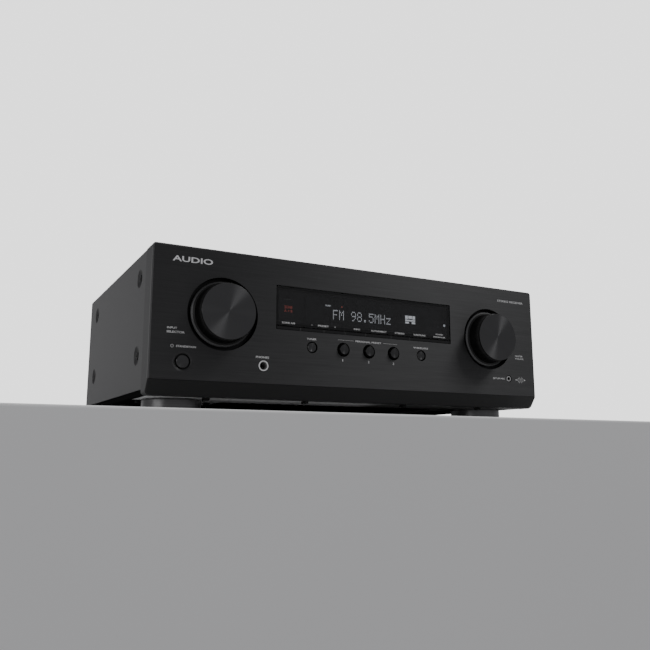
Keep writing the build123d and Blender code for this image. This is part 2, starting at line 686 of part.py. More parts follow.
cover_depth = REAR_Y - COVER_FRONT
with BuildPart() as top_cover:
    with BuildSketch(wall(REAR_Y)) as cover_section:
        with Locations((0, COVER_BOTTOM)):
            Rectangle(2 * COVER_X, COVER_TOP - COVER_BOTTOM, align=(Align.CENTER, Align.MIN))
        fillet(cover_section.vertices().group_by(Axis.Y)[-1], COVER_BEND_R)
        with BuildSketch(mode=Mode.SUBTRACT) as cover_inside:
            with Locations((0, COVER_BOTTOM)):
                Rectangle(
                    2 * (COVER_X - SHEET),
                    COVER_TOP - SHEET - COVER_BOTTOM,
                    align=(Align.CENTER, Align.MIN),
                )
            fillet(cover_inside.vertices().group_by(Axis.Y)[-1], COVER_BEND_R - SHEET)
    extrude(amount=cover_depth)
    # lip turned down over the rear panel
    with BuildSketch(wall(REAR_Y)):
        with Locations((0, COVER_TOP - LIP_DROP)):
            Rectangle(2 * (COVER_X - 8), LIP_DROP, align=(Align.CENTER, Align.MIN))
    extrude(amount=-SHEET)
    with BuildSketch(wall(REAR_Y)):
        with Locations(*[(x, COVER_TOP - LIP_DROP / 2) for x in LIP_SCREWS_X]):
            Circle(SCREW_HOLE_R)
    extrude(amount=-SHEET, mode=Mode.SUBTRACT)
    # round screw dishes in both sides
    for side in (-1, 1):
        for y in DIMPLE_Y:
            for z in DIMPLE_Z:
                bowl_plane = Plane(origin=(side * COVER_X, y, z), x_dir=(0, 1, 0), z_dir=(0, 0, 1))
                bowl_axis = Axis((side * COVER_X, y, z), (1, 0, 0))
                inward = side  # local y of the bowl's plane points to -X
                floor = inward * DIMPLE_DEPTH
                back = inward * (DIMPLE_DEPTH + SHEET)
                with BuildSketch(bowl_plane):
                    with BuildLine():
                        Polyline(
                            (0, inward * SHEET / 2),
                            (DIMPLE_R + 1, inward * SHEET / 2),
                            (DIMPLE_R + 0.4, inward * SHEET),
                            (5.6, back),
                            (0, back),
                            close=True,
                        )
                    make_face()
                revolve(axis=bowl_axis)
                with BuildSketch(bowl_plane):
                    with BuildLine():
                        Line((0, -inward), (DIMPLE_R, -inward))
                        Line((DIMPLE_R, -inward), (DIMPLE_R, 0))
                        ThreePointArc((DIMPLE_R, 0), (7.4, floor * 0.55), (5.0, floor))
                        Polyline((5.0, floor), (0, floor), (0, -inward))
                    make_face()
                revolve(axis=bowl_axis, mode=Mode.SUBTRACT)
                with BuildSketch(Plane.YZ.offset(side * (COVER_X - 5))):
                    with Locations((y, z)):
                        Circle(SCREW_HOLE_R)
                extrude(amount=side * 6, mode=Mode.SUBTRACT)
    # ventilation slots over heatsink and transformer
    with BuildSketch(Plane.XY.offset(COVER_TOP)):
        with Locations((60, -10)):
            with GridLocations(46.0, 9.0, 6, 11):
                SlotOverall(38.0, 3.4)
        with Locations((-150, -40)):
            with GridLocations(46.0, 9.0, 2, 9):
                SlotOverall(38.0, 3.4)
    extrude(amount=-SHEET, mode=Mode.SUBTRACT)
finish(top_cover, "top_cover")

panel_bottom = FLOOR_BOTTOM
panel_top = COVER_TOP - SHEET - SEAM
with BuildPart() as rear_panel:
    with BuildSketch(wall(REAR_Y)) as rear_outline:
        with Locations((0, panel_bottom)):
            Rectangle(2 * PANEL_X, panel_top - panel_bottom, align=(Align.CENTER, Align.MIN))
        fillet(rear_outline.vertices().group_by(Axis.Y)[-1], COVER_BEND_R)
        with Locations(*[(x, z) for x in JACK_X for z in JACK_Z]):
            Circle(JACK_R + 1.6, mode=Mode.SUBTRACT)
        with Locations(*[(x, VIDEO_Z) for x in VIDEO_X]):
            Rectangle(VIDEO_SIZE[0] + 0.6, VIDEO_SIZE[1] + 0.6, mode=Mode.SUBTRACT)
        with Locations((TUNER_X, TUNER_Z)):
            Circle(AERIAL_R + 0.3, mode=Mode.SUBTRACT)
        with Locations((INLET_X, INLET_Z)):
            Rectangle(24.4, 18.4, mode=Mode.SUBTRACT)
        with Locations((TERMINAL_X, TERMINAL_Z)):
            Rectangle(
                TERMINAL_PITCH * 5 + 2.4,
                TERMINAL_ROWS + 24.4,
                mode=Mode.SUBTRACT,
            )
        with Locations(*[(x, COVER_TOP - LIP_DROP / 2) for x in LIP_SCREWS_X]):
            Circle(SCREW_HOLE_R, mode=Mode.SUBTRACT)
        with Locations((-150, 112)):
            with GridLocations(9.0, 30.0, 11, 1):
                SlotOverall(34.0, 4.0, rotation=90, mode=Mode.SUBTRACT)
    extrude(amount=SHEET)
finish(rear_panel, "rear_panel")


# ---------------------------------------------------------------- screws and feet
def screw(head_centre, direction):
    """Pan-head screw: the point under its head, and the way that it drives in."""
    seat = Plane(origin=head_centre, z_dir=direction)
    with BuildPart(mode=Mode.PRIVATE) as one_screw:
        with BuildSketch(seat):
            Circle(SCREW_SHANK_R)
        extrude(amount=SCREW_LENGTH)
        with BuildSketch(seat):
            Circle(SCREW_HEAD_R)
        extrude(amount=-SCREW_HEAD_T)
        head_rim = one_screw.edges().filter_by(GeomType.CIRCLE).group_by(SortBy.RADIUS)[-1]
        fillet(head_rim.sort_by(Axis(head_centre, direction))[0], 1.0)
        # cross recess
        with BuildSketch(seat.offset(-SCREW_HEAD_T)):
            Rectangle(CROSS_RECESS[0], CROSS_RECESS[1])
            Rectangle(CROSS_RECESS[1], CROSS_RECESS[0])
        extrude(amount=CROSS_RECESS[2], mode=Mode.SUBTRACT)
    return one_screw.part


screw_seats = []
for side in (-1, 1):
    for y in DIMPLE_Y:
        for z in DIMPLE_Z:
            screw_seats.append(((side * (COVER_X - DIMPLE_DEPTH), y, z), (-side, 0, 0)))
for x in LIP_SCREWS_X:
    screw_seats.append(((x, REAR_Y + SHEET, COVER_TOP - LIP_DROP / 2), (0, -1, 0)))
for x in LUG_X:
    screw_seats.append(((x, LUG_SCREW_Y, FLOOR_BOTTOM), (0, 0, 1)))
for dx in (-TRAFO_FEET[0], TRAFO_FEET[0]):
    for dy in (-TRAFO_FEET[1], TRAFO_FEET[1]):
        screw_seats.append(((TRAFO[0] + dx, TRAFO[1] + dy, FLOOR_BOTTOM), (0, 0, 1)))
for x, y, z in FOOT_SPOTS:
    screw_seats.append(((x, y, FOOT_RECESS_TOP), (0, 0, 1)))
with BuildPart() as chassis_screws:
    add([screw(point, direction) for point, direction in screw_seats])
finish(chassis_screws, "chassis_screws")

with BuildPart() as feet:
    for x, y, z in FOOT_SPOTS:
        with BuildSketch(Plane(origin=(x, y, 0), x_dir=(1, 0, 0), z_dir=(0, -1, 0))):
            with BuildLine():
                Polyline(
                    (SCREW_HOLE_R, FLOOR_BOTTOM),
                    (FOOT_NECK_R, FLOOR_BOTTOM),
                    (FOOT_NECK_R, FOOT_TOP),
                    (FOOT_R - 0.5, FOOT_TOP),
                    (FOOT_R, FOOT_TOP - 0.5),
                    (FOOT_R, SOLE + 1.0),
                    (FOOT_R - 1.0, SOLE),
                    (PAD_R[1], SOLE),
                    (PAD_R[1], PAD_T),
                    (PAD_R[0], PAD_T),
                    (PAD_R[0], SOLE),
                    (FOOT_RECESS_R, SOLE),
                    (FOOT_RECESS_R, FOOT_RECESS_TOP),
                    (SCREW_HOLE_R, FOOT_RECESS_TOP),
                    close=True,
                )
            make_face()
        revolve(axis=Axis((x, y, 0), (0, 0, 1)))
finish(feet, "feet")

with BuildPart() as foot_pads:
    with BuildSketch(Plane.XY):
        with Locations(*[(x, y) for x, y, z in FOOT_SPOTS]):
            Circle(PAD_R[1])
            Circle(PAD_R[0], mode=Mode.SUBTRACT)
    extrude(amount=PAD_T)
finish(foot_pads, "foot_pads")

# ---------------------------------------------------------------- power supply
core_z = FLOOR_TOP + TRAFO_BOSS
core_w, core_d, core_h = TRAFO_SIZE
window_w = (COIL_WIDTH - LIMB) / 2
window_d = core_d - LIMB
with BuildPart() as transformer_core:
    with BuildSketch(Plane.XY.offset(core_z)):
        with Locations(TRAFO):
            Rectangle(core_w, core_d)
            with Locations((-(LIMB + window_w) / 2, 0), ((LIMB + window_w) / 2, 0)):
                Rectangle(window_w, window_d, mode=Mode.SUBTRACT)
            with GridLocations(2 * TRAFO_FEET[0], 2 * TRAFO_FEET[1], 2, 2):
                Circle(SCREW_HOLE_R, mode=Mode.SUBTRACT)
    extrude(amount=core_h)
finish(transformer_core, "transformer_core")

with BuildPart() as transformer_winding:
    # coil round the middle limb, standing out above and below the core
    with BuildSketch(Plane.XY.offset(core_z)):
        with Locations(TRAFO):
            Rectangle(COIL_WIDTH, window_d)
            Rectangle(LIMB, window_d, mode=Mode.SUBTRACT)
    extrude(amount=core_h)
    for bottom, height in ((core_z - 5.0, 5.0), (core_z + core_h, 14.0)):
        with BuildSketch(Plane.XY.offset(bottom)):
            with Locations(TRAFO):
                RectangleRounded(COIL_WIDTH, window_d, 2.0)
        extrude(amount=height)
finish(transformer_winding, "transformer_winding")

with BuildPart() as smoothing_capacitors:
    for x in CAPACITOR_X:
        capacitor_plane = Plane(origin=(x, CAPACITOR_Y, MAIN_BOARD_Z + BOARD_T))
        with BuildSketch(capacitor_plane):
            Circle(CAPACITOR_R)
        extrude(amount=CAPACITOR_H)
    top_rims = smoothing_capacitors.edges().group_by(Axis.Z)[-1]
    fillet(top_rims, 1.5)
finish(smoothing_capacitors, "smoothing_capacitors")

with BuildPart() as main_board:
    with BuildSketch(Plane.XY.offset(MAIN_BOARD_Z)):
        with Locations((MAIN_BOARD[0], MAIN_BOARD[1])):
            Rectangle(MAIN_BOARD[2], MAIN_BOARD[3])
    extrude(amount=BOARD_T)
finish(main_board, "main_board")

sink_x, sink_y, sink_l, sink_d, sink_h = HEATSINK
sink_z = MAIN_BOARD_Z + BOARD_T
SINK_BASE = 6.0
with BuildPart() as heatsink:
    with BuildSketch(Plane.XY.offset(sink_z)):
        with Locations((sink_x, sink_y - sink_d / 2 + SINK_BASE / 2)):
            Rectangle(sink_l, SINK_BASE)
        with Locations((sink_x, sink_y + SINK_BASE / 2)):
            with GridLocations(FIN_PITCH, 1, int(sink_l / FIN_PITCH), 1):
                Rectangle(2.0, sink_d - SINK_BASE)
    extrude(amount=sink_h)
finish(heatsink, "heatsink")

with BuildPart() as power_transistors:
    with BuildSketch(wall(sink_y - sink_d / 2)):
        with Locations((sink_x, sink_z + 22)):
            with GridLocations(23.0, 1, 10, 1):
                Rectangle(15.6, 20.0)
    extrude(amount=5.0)
    front_edges = power_transistors.faces().filter_by(Axis.Y).group_by(Axis.Y)[0].edges()
    chamfer(front_edges, 0.8)
finish(power_transistors, "power_transistors")

# ---------------------------------------------------------------- signal boards and rear sockets
with BuildPart() as digital_board:
    with BuildSketch(Plane.XY.offset(DIGITAL_BOARD_Z)):
        with Locations((DIGITAL_BOARD[0], DIGITAL_BOARD[1])):
            Rectangle(DIGITAL_BOARD[2], DIGITAL_BOARD[3])
    extrude(amount=BOARD_T)
    # processor and memory packages
    with BuildSketch(Plane.XY.offset(DIGITAL_BOARD_Z + BOARD_T)):
        with Locations((0, 92), (46, 92)):
            Rectangle(24, 24)
        with Locations((86, 100), (86, 84)):
            Rectangle(16, 9)
    extrude(amount=1.8)
finish(digital_board, "digital_board")

with BuildPart() as tuner_module:
    tuner_back = REAR_Y - SHEET
    with BuildSketch(wall(tuner_back)):
        with Locations((TUNER_X, TUNER_Z)):
            RectangleRounded(34.0, 18.0, 1.0)
    extrude(amount=42.0)
    with BuildSketch(wall(tuner_back)):
        with Locations((TUNER_X, TUNER_Z)):
            Circle(AERIAL_R)
    extrude(amount=-11.0)
    socket_mouth = tuner_module.faces().sort_by(Axis.Y)[-1]
    chamfer(socket_mouth.edges(), 0.5)
    # nut against the rear panel
    with BuildSketch(wall(REAR_Y)):
        with Locations((TUNER_X, TUNER_Z)):
            RegularPolygon(6.6, 6)
    extrude(amount=-1.5)
finish(tuner_module, "tuner_module")

with BuildPart() as audio_jacks:
    jack_spots = [(x, z) for x in JACK_X for z in JACK_Z]
    with BuildSketch(wall(REAR_Y - SHEET)):
        with Locations(*jack_spots):
            Rectangle(JACK_BLOCK, JACK_BLOCK)
    extrude(amount=14.0)
    with BuildSketch(wall(REAR_Y - SHEET)):
        with Locations(*jack_spots):
            Circle(JACK_R + 1.4)
    extrude(amount=-SHEET - 1.2)
    with BuildSketch(wall(REAR_Y + 1.2)):
        with Locations(*jack_spots):
            Circle(JACK_R)
    extrude(amount=-JACK_LENGTH)
    with BuildSketch(wall(REAR_Y + 1.2 + JACK_LENGTH)):
        with Locations(*jack_spots):
            Circle(JACK_BORE_R)
    extrude(amount=12.0, mode=Mode.SUBTRACT)
finish(audio_jacks, "audio_jacks")

with BuildPart() as video_sockets:
    video_spots = [(x, VIDEO_Z) for x in VIDEO_X]
    video_w, video_h = VIDEO_SIZE
    with BuildSketch(wall(REAR_Y + 0.6)):
        with Locations(*video_spots):
            Rectangle(video_w, video_h)
            Rectangle(video_w - 1.0, video_h - 1.0, mode=Mode.SUBTRACT)
    extrude(amount=VIDEO_DEPTH)
    with BuildSketch(wall(REAR_Y + 0.6 - VIDEO_DEPTH + 2)):
        with Locations(*video_spots):
            Rectangle(video_w, video_h)
    extrude(amount=2.0)
    # contact tongue
    with BuildSketch(wall(REAR_Y - 0.6)):
        with Locations(*video_spots):
            Rectangle(10.6, 1.4)
    extrude(amount=VIDEO_DEPTH - 2.4)
finish(video_sockets, "video_sockets")

with BuildPart() as ac_inlet:
    with BuildSketch(wall(REAR_Y)):
        with Locations((INLET_X, INLET_Z)):
            RectangleRounded(28.0, 22.0, 2.0)
    extrude(amount=-2.0)
    with BuildSketch(wall(REAR_Y)):
        with Locations((INLET_X, INLET_Z)):
            Rectangle(24.0, 18.0)
    extrude(amount=20.0)
    with BuildSketch(wall(REAR_Y + 2.0)):
        with Locations((INLET_X, INLET_Z)):
            RectangleRounded(*INLET_SLOT, 4.0)
    extrude(amount=16.0, mode=Mode.SUBTRACT)
    with BuildSketch(wall(REAR_Y - 14.5)):
        with Locations((INLET_X - INLET_PIN_X, INLET_Z), (INLET_X + INLET_PIN_X, INLET_Z)):
            Circle(1.2)
    extrude(amount=-11.0)
finish(ac_inlet, "ac_inlet")

# ---------------------------------------------------------------- speaker terminals
terminal_columns = [TERMINAL_X + (i - 2) * TERMINAL_PITCH for i in range(len(CHANNELS))]
terminal_rows = {"positive": TERMINAL_Z + TERMINAL_ROWS / 2, "negative": TERMINAL_Z - TERMINAL_ROWS / 2}
terminal_spots = [(x, z) for x in terminal_columns for z in terminal_rows.values()]
BASE_W = TERMINAL_PITCH * 5 + 2
BASE_H = TERMINAL_ROWS + 24
with BuildPart() as speaker_terminal_base:
    with BuildSketch(wall(REAR_Y + 1.5)):
        with Locations((TERMINAL_X, TERMINAL_Z)):
            Rectangle(BASE_W, BASE_H)
    extrude(amount=12.0)
    with BuildSketch(wall(REAR_Y + 1.5)):
        with Locations((TERMINAL_X, TERMINAL_Z)):
            Rectangle(BASE_W + 6, BASE_H + 6)
            Rectangle(BASE_W, BASE_H, mode=Mode.SUBTRACT)
    extrude(amount=1.5)
    # shallow seat round each post
    with BuildSketch(wall(REAR_Y + 1.5)):
        with Locations(*terminal_spots):
            Circle(9.2)
    extrude(amount=1.0, mode=Mode.SUBTRACT)
    with BuildSketch(wall(REAR_Y + 1.5)):
        with Locations(*terminal_spots):
            Circle(STUD_R)
    extrude(amount=12.0, mode=Mode.SUBTRACT)
finish(speaker_terminal_base, "speaker_terminal_base")

STUD_FRONT = REAR_Y - 16.0
STUD_BACK = REAR_Y + POST_PROUD - 4.5
with BuildPart() as terminal_studs:
    with BuildSketch(wall(STUD_FRONT)):
        with Locations(*terminal_spots):
            Circle(STUD_R)
    extrude(amount=-(STUD_BACK - STUD_FRONT))
    # collar that the wire is clamped against
    with BuildSketch(wall(REAR_Y + 0.5)):
        with Locations(*terminal_spots):
            Circle(5.5)
            Circle(STUD_R, mode=Mode.SUBTRACT)
    extrude(amount=-1.6)
    # solder tags inside the case
    with BuildSketch(wall(STUD_FRONT)):
        with Locations(*terminal_spots):
            Rectangle(3.0, 1.0)
    extrude(amount=5.0)
finish(terminal_studs, "terminal_studs")


def speaker_cap(name, x, z):
    """Fluted cap that turns on its stud and clamps the bare wire against the collar."""
    cap_end = REAR_Y + POST_PROUD
    cap_start = cap_end - CAP_LENGTH
    post_axis = Axis((x, 0, z), (0, 1, 0))
    with BuildPart() as cap:
        with BuildSketch(Plane(origin=(x, 0, z))):
            with BuildLine():
                Polyline(
                    (0, cap_end),
                    (CAP_R - 1.0, cap_end),
                    (CAP_R, cap_end - 1.0),
                    (CAP_R, cap_start + 2.5),
                    (CAP_R - 1.6, cap_start),
                    (0, cap_start),
                    close=True,
                )
            make_face()
        revolve(axis=post_axis)
        with BuildSketch(wall(cap_start + 2.5)):
            with Locations((x, z)):
                with PolarLocations(CAP_R + 0.35, CAP_FLUTES):
                    Circle(0.9)
        extrude(amount=-CAP_LENGTH, mode=Mode.SUBTRACT)
        with BuildSketch(wall(cap_start)):
            with Locations((x, z)):
                Circle(STUD_R + RUNNING_GAP)
        extrude(amount=-(STUD_BACK - cap_start + 0.5), mode=Mode.SUBTRACT)
    finish(cap, name)


for channel, x in zip(CHANNELS, terminal_columns):
    for sign, z in terminal_rows.items():
        speaker_cap(f"{channel}_{sign}_cap", x, z)
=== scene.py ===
import math

import bpy
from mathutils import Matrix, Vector


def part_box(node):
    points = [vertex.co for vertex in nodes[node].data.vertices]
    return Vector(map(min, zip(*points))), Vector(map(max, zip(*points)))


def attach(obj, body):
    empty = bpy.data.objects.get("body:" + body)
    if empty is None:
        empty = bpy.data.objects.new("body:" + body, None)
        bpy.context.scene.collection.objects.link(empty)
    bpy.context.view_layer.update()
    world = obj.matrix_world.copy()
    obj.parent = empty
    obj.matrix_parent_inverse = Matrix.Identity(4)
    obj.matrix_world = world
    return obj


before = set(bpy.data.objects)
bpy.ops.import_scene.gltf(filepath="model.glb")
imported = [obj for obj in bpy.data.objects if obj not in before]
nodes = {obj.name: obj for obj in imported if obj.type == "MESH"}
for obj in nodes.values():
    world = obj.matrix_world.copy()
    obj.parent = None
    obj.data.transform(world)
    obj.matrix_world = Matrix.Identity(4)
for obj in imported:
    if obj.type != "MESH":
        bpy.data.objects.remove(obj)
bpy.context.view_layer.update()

MM = 0.001
FIXED = "chassis"

# the walls that printing lies on: the fascia, the window, the tube, its holder and the rear panel
FACE_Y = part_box("fascia_plate")[0].y
LENS_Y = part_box("display_window")[0].y
LENS_BACK_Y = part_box("display_window")[1].y
TUBE_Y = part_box("display_module")[0].y
HOLDER_Y = TUBE_Y + 2.3 * MM
BACK_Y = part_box("rear_panel")[1].y


def middle(name):
    """The middle of a CAD node's box, as (x, z)."""
    low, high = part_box(name)
    return (low.x + high.x) / 2, (low.z + high.z) / 2


def half_width(name):
    """Half the width of a CAD node's box, which is the radius of a round one."""
    low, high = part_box(name)
    return (high.x - low.x) / 2


# ---------------------------------------------------------------- what materials are made with
def grey(value):
    return (value, value, value)


def shades(colour, spread):
    """The colour a little darker and a little lighter."""
    return tuple(c * (1 - spread) for c in colour), tuple(min(1.0, c * (1 + spread)) for c in colour)


class Recipe:
    """A node material round one Principled shader. Keys of settings are the shader's socket names."""

    def __init__(self, name, settings):
        self.material = bpy.data.materials.new(name)
        self.material.use_nodes = True
        self.tree = self.material.node_tree
        self.shader = self.tree.nodes["Principled BSDF"]
        for socket, value in settings.items():
            self.set(socket, value)
        where = self.tree.nodes.new("ShaderNodeTexCoord")
        self.place = where.outputs["Object"]

    def feed(self, socket, value):
        """Links an output to the socket, or gives the socket a value."""
        if isinstance(value, bpy.types.NodeSocket):
            self.tree.links.new(value, socket)
        elif socket.type == "RGBA":
            socket.default_value = (*value, 1.0)
        else:
            socket.default_value = value

    def set(self, socket, value):
        self.feed(self.shader.inputs[socket], value)

    def node(self, kind, inputs=(), **settings):
        made = self.tree.nodes.new(kind)
        for key, value in settings.items():
            setattr(made, key, value)
        for key, value in dict(inputs).items():
            self.feed(made.inputs[key], value)
        return made

    def math(self, operation, a, b=0.0, c=0.0):
        return self.node("ShaderNodeMath", {0: a, 1: b, 2: c}, operation=operation).outputs[0]

    def remap(self, value, low, high, new_low=0.0, new_high=1.0):
        inputs = {
            "Value": value,
            "From Min": low,
            "From Max": high,
            "To Min": new_low,
            "To Max": new_high,
        }
        return self.node("ShaderNodeMapRange", inputs).outputs["Result"]

    def colours(self, factor, first, second):
        """From the first colour to the second. Each is a triple or another node's output."""
        return self.node("ShaderNodeMix", {0: factor, 6: first, 7: second}, data_type="RGBA").outputs[2]

    def scaled(self, scale, source=None):
        """The place on the object, or another output, multiplied along each axis."""
        inputs = {"Vector": source or self.place, "Scale": scale}
        return self.node("ShaderNodeMapping", inputs).outputs["Vector"]

    def noise(self, scale, detail=2.0, source=None):
        """Grey noise. A number scales it evenly, and three numbers stretch it."""
        if isinstance(scale, (int, float)):
            scale = (scale, scale, scale)
        inputs = {"Vector": self.scaled(scale, source), "Scale": 1.0, "Detail": detail}
        return self.node("ShaderNodeTexNoise", inputs).outputs["Fac"]

    def cells(self, scale, output="Color"):
        """Irregular cells, by the random colour of each or the distance from its middle."""
        inputs = {"Vector": self.scaled((scale, scale, scale)), "Scale": 1.0}
        return self.node("ShaderNodeTexVoronoi", inputs).outputs[output]

    def axis(self, name, source=None):
        """One of X, Y and Z of the place on the object, in metres, or of another output."""
        return self.node("ShaderNodeSeparateXYZ", {0: source or self.place}).outputs[name]

    def waves(self, name, per_metre):
        """Even stripes across an axis."""
        return self.math("SINE", self.math("MULTIPLY", self.axis(name), per_metre))

    def length(self, a, b):
        """Length of a step of a one way and b across it."""
        squares = self.math("ADD", self.math("MULTIPLY", a, a), self.math("MULTIPLY", b, b))
        return self.math("SQRT", squares)

    def radius(self, centre):
        """Distance from a line along Y through centre (x, z), in metres."""
        dx = self.math("SUBTRACT", self.axis("X"), centre[0])
        dz = self.math("SUBTRACT", self.axis("Z"), centre[1])
        return self.length(dx, dz)

    def rings(self, centre, scale):
        """Noise that changes with the distance from a line along Y only."""
        joined = self.node("ShaderNodeCombineXYZ", {"X": self.radius(centre)})
        return self.noise(scale, 3.0, joined.outputs[0])

    def bump(self, height, strength, distance):
        inputs = {"Height": height, "Strength": strength, "Distance": distance}
        self.set("Normal", self.node("ShaderNodeBump", inputs).outputs["Normal"])

    def tangent(self, axis):
        self.set("Tangent", self.node("ShaderNodeTangent", direction_type="RADIAL", axis=axis).outputs[0])


def paint(recipe, *names):
    """Gives CAD nodes this material."""
    for name in names:
        held = nodes[name].data.materials
        held.clear()
        held.append(recipe.material)


METAL = {"Metallic": 1.0}
ALONG = 0.25  # lay of the brushing: a quarter turn from the tangent, so along the plate or round the cap


def grained(name, colour, roughness, grain=1600.0, depth=0.04 * MM, spread=0.12, **more):
    """Moulded or coated surface with a fine grain and a slow drift of tone and gloss."""
    recipe = Recipe(name, {"Roughness": roughness, **more})
    drift = recipe.noise(14.0, 4.0)
    recipe.set("Base Color", recipe.colours(drift, *shades(colour, spread)))
    fine = recipe.noise(grain, 3.0)
    recipe.set("Roughness", recipe.remap(fine, 0.3, 0.7, roughness - 0.05, roughness + 0.06))
    recipe.bump(fine, 0.5, depth)
    return recipe


def brushed(name, colour, roughness):
    """Anodised plate brushed along X."""
    settings = {"Roughness": roughness, "Anisotropic": 0.8, "Anisotropic Rotation": ALONG}
    recipe = Recipe(name, {**METAL, **settings})
    hair = recipe.noise((28.0, 40.0, 1500.0), 5.0)
    broad = recipe.noise((9.0, 10.0, 420.0), 3.0)
    both = recipe.math("MULTIPLY_ADD", broad, 0.3, recipe.math("MULTIPLY", hair, 0.7))
    recipe.set("Base Color", recipe.colours(both, *shades(colour, 0.3)))
    recipe.set("Roughness", recipe.remap(both, 0.3, 0.7, roughness - 0.04, roughness + 0.04))
    recipe.bump(both, 0.25, 0.02 * MM)
    recipe.tangent("Z")
    return recipe


def spun(name, node, colour, roughness, anisotropy, lay=ALONG, rim=0.0, rim_shade_tone=0.006):
    """Face turned on a lathe. The rim is the width round it darkened as painted shade."""
    settings = {"Roughness": roughness, "Anisotropic": anisotropy, "Anisotropic Rotation": lay}
    recipe = Recipe(name, {**METAL, **settings})
    centre = middle(node)
    ring = recipe.rings(centre, 5200.0)
    tone = recipe.colours(ring, *shades(colour, 0.25))
    # painted shade over the rim, which also hides the edge's highlights
    if rim:
        edge = half_width(node) - rim
        outer = recipe.remap(recipe.radius(centre), edge - 0.2 * MM, edge + 0.2 * MM)
        tone = recipe.colours(outer, tone, grey(rim_shade_tone))
    recipe.set("Base Color", tone)
    recipe.bump(ring, 0.25, 0.02 * MM)
    recipe.tangent("Y")
    return recipe


# ---------------------------------------------------------------- front panel and display
def window_acrylic():
    """Smoked acrylic, a little wavy."""
    lens = Recipe("window_acrylic", {"Transmission Weight": 1.0, "IOR": 1.49, "Roughness": 0.03})
    lens.set("Base Color", lens.colours(lens.noise(9.0), (0.30, 0.30, 0.31), (0.33, 0.33, 0.34)))
    lens.bump(lens.noise(60.0, 1.0), 0.02, 0.1 * MM)
    return lens


def display_glass():
    """Dark glass over a fine mesh."""
    tube = Recipe("display_glass", {"Roughness": 0.12, "IOR": 1.5})
    mesh_grid = tube.waves("X", 9000.0)
    tube.set("Base Color", tube.colours(mesh_grid, (0.042, 0.043, 0.045), (0.050, 0.051, 0.053)))
    return tube


def circuit_board():
    """Green lacquer over copper tracks."""
    board = Recipe("circuit_board", {"Roughness": 0.38})
    tracks = board.remap(board.cells(420.0, "Distance"), 0.25, 0.32)
    board.set("Base Color", board.colours(tracks, (0.02, 0.09, 0.035), (0.035, 0.15, 0.06)))
    board.bump(tracks, 0.4, 0.04 * MM)
    return board


paint(brushed("brushed_fascia", (0.068, 0.068, 0.069), 0.45), "fascia_plate")
frame_black = grained("frame_plastic", (0.010, 0.010, 0.0104), 0.42, **{"Specular IOR Level": 0.3})
paint(frame_black, "front_frame")
paint(window_acrylic(), "display_window")
paint(display_glass(), "display_module")
paint(circuit_board(), "main_board", "digital_board")
paint(grained("black_board", (0.012, 0.013, 0.012), 0.5, depth=0.01 * MM), "front_board")
paint(grained("switch_plastic", grey(0.03), 0.5), "tact_switches")

# ---------------------------------------------------------------- knobs, buttons and keys
SKIRT_GAP = 2.6 * MM  # from the cap's edge to where the knob's skirt, made lighter as a painted sheen, begins
SIDE_SHADE_DEPTH = 5 * MM  # depth over which the painted light on the knob's side fades to painted shade behind its cap
# widths darkened as painted shade: the caps' chamfer and the preset buttons' sides
CAP_SHADE_RIM = 0.4 * MM
CAP_LAY = {"input": ALONG, "volume": 0.335}  # the volume knob's cap is turned on an open spiral
PRESET_SHADE_RIM = 2.65 * MM


def knob_body(side):
    """Dark satin side with painted light next to the cap fading to painted shade behind it, and a metal
    skirt round its foot made lighter as a painted sheen.
    """
    cap = f"{side}_knob_cap"
    cap_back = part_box(cap)[1].y
    skirt_edge = half_width(cap) + SKIRT_GAP
    knob = Recipe(f"{side}_knob_body", {"Specular IOR Level": 0.25})
    skirt = knob.remap(knob.radius(middle(cap)), skirt_edge, skirt_edge + 0.5 * MM)
    painted_shade_behind_cap = knob.remap(knob.axis("Y"), cap_back, cap_back + SIDE_SHADE_DEPTH)
    side_painted_light = knob.colours(painted_shade_behind_cap, grey(0.026), grey(0.004))
    # the skirt's lighter metal is a painted sheen on the knob's dark finish
    knob.set("Base Color", knob.colours(skirt, side_painted_light, (0.12, 0.12, 0.122)))
    knob.set("Roughness", knob.remap(skirt, 0.0, 1.0, 0.42, 0.5))
    knob.set("Metallic", skirt)
    knob.bump(knob.noise(2600.0, 3.0), 0.2, 0.03 * MM)
    return knob


for side, lay in CAP_LAY.items():
    paint(knob_body(side), f"{side}_knob")
    cap = f"{side}_knob_cap"
    paint(spun(f"{side}_spun_cap", cap, (0.1, 0.1, 0.102), 0.28, 0.96, lay, CAP_SHADE_RIM, 0.012), cap)

for name in ("standby", "tuner", "wireless"):
    node = f"{name}_button"
    paint(spun(f"{name}_spun", node, (0.085, 0.085, 0.086), 0.28, 0.95), node)
for number in (1, 2, 3):
    node = f"preset_button_{number}"
    paint(spun(f"preset_{number}_gloss", node, (0.075, 0.075, 0.076), 0.3, 0.8, rim=PRESET_SHADE_RIM), node)

keys = [name for name in nodes if name.endswith("_key")]
paint(grained("key_plastic", (0.004, 0.004, 0.0042), 0.12, depth=0.005 * MM), *keys)

shaft_steel = grained("steel_shaft", grey(0.5), 0.28, 2200.0, spread=0.06, **METAL)
paint(shaft_steel, "input_encoder_shaft", "volume_encoder_shaft")
paint(grained("encoder_metal", (0.45, 0.45, 0.44), 0.34, **METAL), "input_encoder", "volume_encoder")

# ---------------------------------------------------------------- front sockets
MIC_MOUTH = 1.85 * MM  # radius at which the socket's dark inside ends


def mic_socket():
    """Pale nose round a dark mouth."""
    mic = Recipe("mic_socket", {"Roughness": 0.35})
    nose = mic.remap(mic.radius(middle("setup_mic_jack")), MIC_MOUTH, MIC_MOUTH + 0.1 * MM)
    mic.set("Base Color", mic.colours(nose, grey(0.01), grey(0.48)))
    mic.bump(mic.noise(900.0), 0.1, 0.02 * MM)
    return mic


paint(mic_socket(), "setup_mic_jack")
